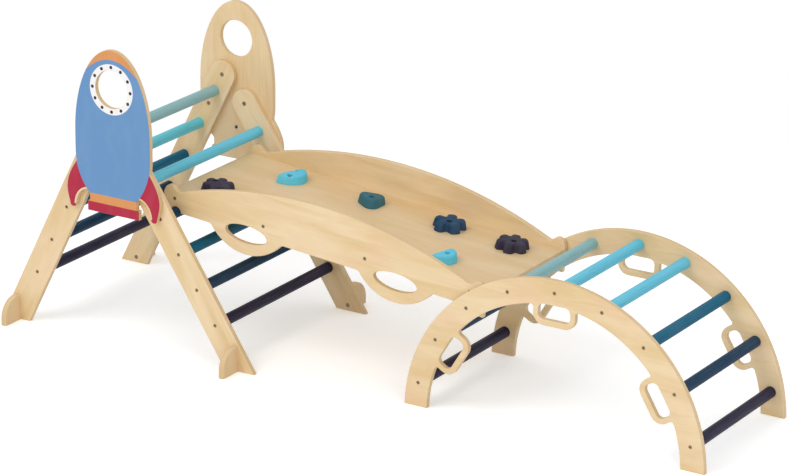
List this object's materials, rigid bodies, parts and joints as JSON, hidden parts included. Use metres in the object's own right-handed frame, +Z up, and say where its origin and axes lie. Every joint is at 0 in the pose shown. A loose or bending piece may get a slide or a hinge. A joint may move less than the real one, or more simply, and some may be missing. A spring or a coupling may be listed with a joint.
{
  "type": "climbing triangle",
  "caption": "Toddler climbing set: a folding climbing triangle with rocket shaped side plates, a ramp with climbing holds hooked onto it and an arch ladder with hand loops.",
  "frame": {"origin": "centre of the set's footprint on the floor", "axes": "+X from the triangle to the arch ladder, +Y across the set to its far side, +Z up"},
  "size_m": [2.0786, 0.683, 0.801],
  "materials": {
    "birch_plywood": "clear lacquered birch plywood, edges showing the plies",
    "printed_plywood": "birch plywood printed in flat colours on its outer face",
    "paint_light_blue": "satin paint",
    "paint_grey_teal": "satin paint",
    "paint_blue_teal": "satin paint",
    "paint_teal": "satin paint",
    "paint_navy": "satin paint",
    "paint_dark_purple": "satin paint",
    "hold_light_blue": "moulded climbing hold, fine grain",
    "hold_teal": "moulded climbing hold, fine grain",
    "hold_navy": "moulded climbing hold, fine grain",
    "hold_dark_purple": "moulded climbing hold, fine grain",
    "dark_steel": "browned steel bolts with hexagon sockets",
    "zinc_steel": "zinc plated threaded inserts and tee nuts"
  },
  "bodies": {
    "ramp_ladder_and_arch": {"ramp_ladder_leg_near": "birch_plywood", "ramp_ladder_stabiliser_near": "birch_plywood", "arch_side_near": "birch_plywood", "ramp_ladder_leg_far": "birch_plywood", "ramp_ladder_stabiliser_far": "birch_plywood", "arch_side_far": "birch_plywood", "ramp_ladder_rung_1": "paint_light_blue", "ramp_ladder_rung_2": "paint_navy", "ramp_ladder_rung_3": "paint_teal", "ramp_ladder_rung_4": "paint_navy", "ramp_ladder_rung_5": "paint_dark_purple", "arch_rung_1": "paint_dark_purple", "arch_rung_2": "paint_navy", "arch_rung_3": "paint_teal", "arch_rung_4": "paint_grey_teal", "arch_rung_5": "paint_light_blue", "arch_rung_6": "paint_light_blue", "arch_rung_7": "paint_blue_teal", "arch_rung_8": "paint_navy", "arch_rung_9": "paint_dark_purple", "ramp_ladder_rung_bolts": "dark_steel", "ramp_ladder_stabiliser_bolts": "dark_steel", "arch_rung_bolts": "dark_steel", "ramp_ladder_rung_inserts": "zinc_steel", "arch_rung_inserts": "zinc_steel"},
    "back_ladder_and_rockets": {"back_ladder_leg_near": "birch_plywood", "back_ladder_stabiliser_near": "birch_plywood", "rocket_plate_near": "printed_plywood", "back_ladder_leg_far": "birch_plywood", "back_ladder_stabiliser_far": "birch_plywood", "rocket_plate_far": "printed_plywood", "back_ladder_rung_1": "paint_grey_teal", "back_ladder_rung_2": "paint_blue_teal", "back_ladder_rung_3": "paint_teal", "back_ladder_rung_4": "paint_navy", "back_ladder_rung_5": "paint_dark_purple", "back_ladder_rung_bolts": "dark_steel", "back_ladder_stabiliser_bolts": "dark_steel", "back_pivot_bolts": "dark_steel", "back_lock_bolts": "dark_steel", "fold_pivot_bolts": "dark_steel", "back_ladder_rung_inserts": "zinc_steel", "rocket_plate_inserts": "zinc_steel"},
    "ramp": {"ramp_side_near": "birch_plywood", "ramp_side_far": "birch_plywood", "climbing_deck": "birch_plywood", "climbing_hold_1": "hold_dark_purple", "climbing_hold_2": "hold_light_blue", "climbing_hold_3": "hold_navy", "climbing_hold_4": "hold_teal", "climbing_hold_5": "hold_light_blue", "climbing_hold_6": "hold_navy", "climbing_hold_7": "hold_light_blue", "climbing_hold_8": "hold_dark_purple", "ramp_deck_screws": "dark_steel", "hold_bolts": "dark_steel", "hold_tee_nuts": "zinc_steel"}
  },
  "joints": [
    {"name": "triangle_fold", "type": "hinge", "parent": "ramp_ladder_and_arch", "child": "back_ladder_and_rockets", "pos_m": [-0.62337, 0, 0.5246], "axis": [0, -1, 0], "range_deg": [0, 60.1]},
    {"name": "ramp_lift_off", "type": "slide", "parent": "ramp_ladder_and_arch", "child": "ramp", "axis": [0.0874, 0, 0.9962], "range_m": [0, 0.6]}
  ]
}
